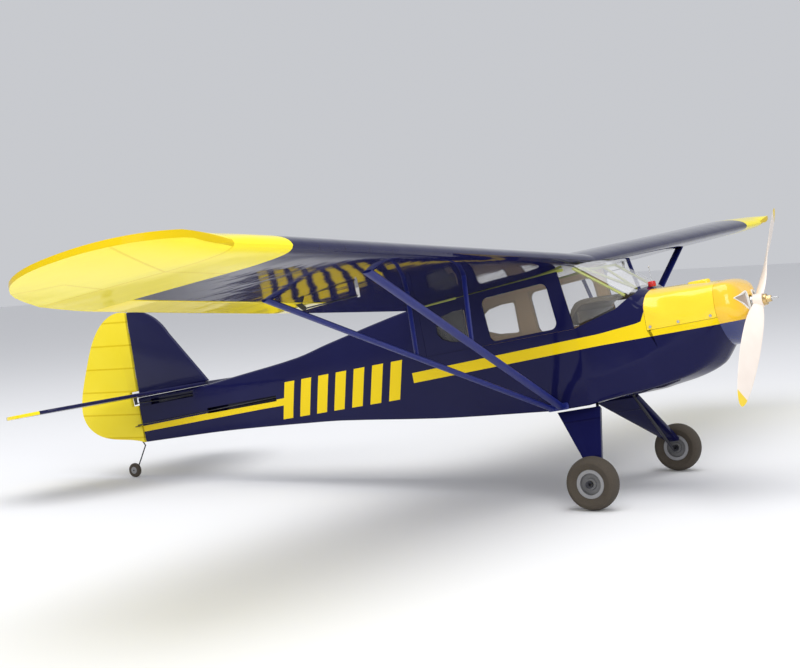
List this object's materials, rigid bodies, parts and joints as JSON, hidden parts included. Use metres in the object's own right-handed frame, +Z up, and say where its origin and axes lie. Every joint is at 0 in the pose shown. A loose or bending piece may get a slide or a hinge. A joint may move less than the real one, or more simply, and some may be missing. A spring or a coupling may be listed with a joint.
{
  "type": "radio-controlled high-wing cabin aeroplane",
  "caption": "Film-covered high-wing cabin model aeroplane with electric nose motor, strut-braced wing, sprung-wire wheels and working tail and wing surfaces.",
  "frame": {"origin": "on the ground under the middle of the model's bounding box, standing on its three wheels", "axes": "+X towards the nose, +Y to port along the span, +Z up from the ground"},
  "size_m": [1.1392, 1.826, 0.3565],
  "materials": {
    "navy_film": "glossy heat-shrink film",
    "blue_paint": "gloss royal-blue enamel",
    "yellow_film": "glossy translucent film",
    "cowl_paint": "gloss enamel over moulded glass fibre",
    "light_ply": "clear-sealed light ply",
    "olive_frame": "satin paint",
    "clear_sheet": "clear acetate",
    "dark_coaming": "matt",
    "grille_plastic": "satin white rim",
    "red_cap": "gloss",
    "steel": "bright wire",
    "brass_fittings": "bright turned",
    "hub_alloy": "satin turned",
    "motor_case": "anodised",
    "prop_nylon": "satin moulded with yellow tips",
    "tyre_foam": "matt foam rubber",
    "wheel_plastic": "grey moulded",
    "battery_wrap": "shrink wrap",
    "black_nylon": "moulded",
    "white_nylon": "moulded"
  },
  "bodies": {
    "airframe": {"fuselage_hull": "navy_film", "cabin_side_left": "navy_film", "cabin_side_right": "navy_film", "equipment_trays": "light_ply", "instrument_panel": "dark_coaming", "firewall": "light_ply", "nose_cowl": "cowl_paint", "inlet_grilles": "grille_plastic", "windshield": "clear_sheet", "windshield_frame": "olive_frame", "cabin_windows": "clear_sheet", "motor_mount": "motor_case", "battery": "battery_wrap", "radio_units": "black_nylon", "servos": "black_nylon", "wing_skin_left": "navy_film", "wing_skin_right": "navy_film", "wing_frame_left": "light_ply", "wing_frame_right": "light_ply", "front_strut_left": "blue_paint", "front_strut_right": "blue_paint", "rear_strut_left": "blue_paint", "rear_strut_right": "blue_paint", "jury_struts": "blue_paint", "strut_fittings": "blue_paint", "gear_leg_left": "navy_film", "gear_leg_right": "navy_film", "axles": "steel", "fin": "navy_film", "stabilizer": "navy_film", "fuel_cap": "red_cap", "hinge_pins": "steel"},
    "hatch": {"hatch": "cowl_paint", "hatch_screws": "steel"},
    "propeller": {"propeller": "prop_nylon", "prop_driver": "hub_alloy", "prop_nut": "brass_fittings", "motor_bell": "steel"},
    "wheel_left": {"tyre_left": "tyre_foam", "wheel_hub_left": "wheel_plastic"},
    "wheel_right": {"tyre_right": "tyre_foam", "wheel_hub_right": "wheel_plastic"},
    "aileron_left": {"aileron_left": "yellow_film"},
    "aileron_right": {"aileron_right": "yellow_film"},
    "aileron_arm_left": {"aileron_servo_arm_left": "white_nylon"},
    "aileron_arm_right": {"aileron_servo_arm_right": "white_nylon"},
    "aileron_rod_left": {"aileron_pushrod_left": "steel"},
    "aileron_rod_right": {"aileron_pushrod_right": "steel"},
    "elevator": {"elevator_left": "navy_film", "elevator_right": "navy_film", "elevator_joiner": "white_nylon"},
    "elevator_rod": {"elevator_pushrod": "steel"},
    "elevator_arm": {"elevator_servo_arm": "white_nylon"},
    "rudder": {"rudder": "yellow_film", "rudder_horn": "white_nylon", "tail_wheel_wire": "steel"},
    "rudder_rod": {"rudder_pushrod": "steel"},
    "rudder_arm": {"rudder_servo_arm": "white_nylon"},
    "tail_wheel": {"tail_tyre": "tyre_foam", "tail_hub": "wheel_plastic"}
  },
  "joints": [
    {"name": "hatch_lift", "type": "slide", "parent": "airframe", "child": "hatch", "axis": [-0.1412, 0, 0.99], "range_m": [0, 0.06]},
    {"name": "propeller_spin", "type": "hinge", "parent": "airframe", "child": "propeller", "pos_m": [0.54509, 0, 0.23909], "axis": [0.99, 0, 0.1412], "continuous": true},
    {"name": "wheel_left_spin", "type": "hinge", "parent": "airframe", "child": "wheel_left", "pos_m": [0.37549, 0.155, 0.03307], "axis": [0, 1, 0], "continuous": true},
    {"name": "wheel_right_spin", "type": "hinge", "parent": "airframe", "child": "wheel_right", "pos_m": [0.37549, -0.155, 0.03307], "axis": [0, 1, 0], "continuous": true},
    {"name": "aileron_left_hinge", "type": "hinge", "parent": "airframe", "child": "aileron_left", "pos_m": [0.13922, 0.345, 0.28017], "axis": [-0.0093, 0.9978, 0.065], "range_deg": [-22, 22]},
    {"name": "aileron_right_hinge", "type": "hinge", "parent": "airframe", "child": "aileron_right", "pos_m": [0.13922, -0.345, 0.28017], "axis": [0.0093, 0.9978, -0.065], "range_deg": [-22, 22]},
    {"name": "aileron_left_arm_turn", "type": "hinge", "parent": "airframe", "child": "aileron_arm_left", "pos_m": [0.21179, 0.405, 0.29543], "axis": [0, 1, 0], "range_deg": [-22.5, 22.5]},
    {"name": "aileron_right_arm_turn", "type": "hinge", "parent": "airframe", "child": "aileron_arm_right", "pos_m": [0.21179, -0.405, 0.29543], "axis": [0, 1, 0], "range_deg": [-22.5, 22.5]},
    {"name": "aileron_left_rod_travel", "type": "slide", "parent": "airframe", "child": "aileron_rod_left", "axis": [0.9868, 0, 0.1619], "range_m": [-0.0056, 0.0056]},
    {"name": "aileron_right_rod_travel", "type": "slide", "parent": "airframe", "child": "aileron_rod_right", "axis": [0.9868, 0, 0.1619], "range_m": [-0.0056, 0.0056]},
    {"name": "elevator_hinge", "type": "hinge", "parent": "airframe", "child": "elevator", "pos_m": [-0.45343, 0, 0.12945], "axis": [0, 1, 0], "range_deg": [-25, 25]},
    {"name": "elevator_rod_travel", "type": "slide", "parent": "airframe", "child": "elevator_rod", "axis": [0.9944, 0.0037, 0.1058], "range_m": [-0.0049, 0.0049]},
    {"name": "elevator_arm_turn", "type": "hinge", "parent": "airframe", "child": "elevator_arm", "pos_m": [0.21911, 0.004, 0.18753], "axis": [-0.1412, 0, 0.99], "range_deg": [-25, 25]},
    {"name": "rudder_hinge", "type": "hinge", "parent": "airframe", "child": "rudder", "pos_m": [-0.44291, 0, 0.0557], "axis": [-0.1146, 0, 0.9934], "range_deg": [-30, 30]},
    {"name": "rudder_rod_travel", "type": "slide", "parent": "airframe", "child": "rudder_rod", "axis": [0.987, -0.0401, 0.1558], "range_m": [-0.0075, 0.0075]},
    {"name": "rudder_arm_turn", "type": "hinge", "parent": "airframe", "child": "rudder_arm", "pos_m": [0.21911, -0.027, 0.18753], "axis": [-0.1412, 0, 0.99], "range_deg": [-31, 31]},
    {"name": "tail_wheel_spin", "type": "hinge", "parent": "rudder", "child": "tail_wheel", "pos_m": [-0.47092, 0, 0.0113], "axis": [0, 1, 0], "continuous": true}
  ],
  "couplings": [
    {"joint": "aileron_right_hinge", "follows": "aileron_left_hinge", "ratio": -1},
    {"joint": "aileron_left_arm_turn", "follows": "aileron_left_hinge", "ratio": 1},
    {"joint": "aileron_right_arm_turn", "follows": "aileron_left_hinge", "ratio": -1},
    {"joint": "aileron_left_rod_travel", "follows": "aileron_left_hinge", "m_per_rad": -0.014},
    {"joint": "aileron_right_rod_travel", "follows": "aileron_left_hinge", "m_per_rad": 0.014},
    {"joint": "elevator_rod_travel", "follows": "elevator_hinge", "m_per_rad": -0.011},
    {"joint": "elevator_arm_turn", "follows": "elevator_hinge", "ratio": -0.91667},
    {"joint": "rudder_rod_travel", "follows": "rudder_hinge", "m_per_rad": 0.014},
    {"joint": "rudder_arm_turn", "follows": "rudder_hinge", "ratio": 1}
  ]
}
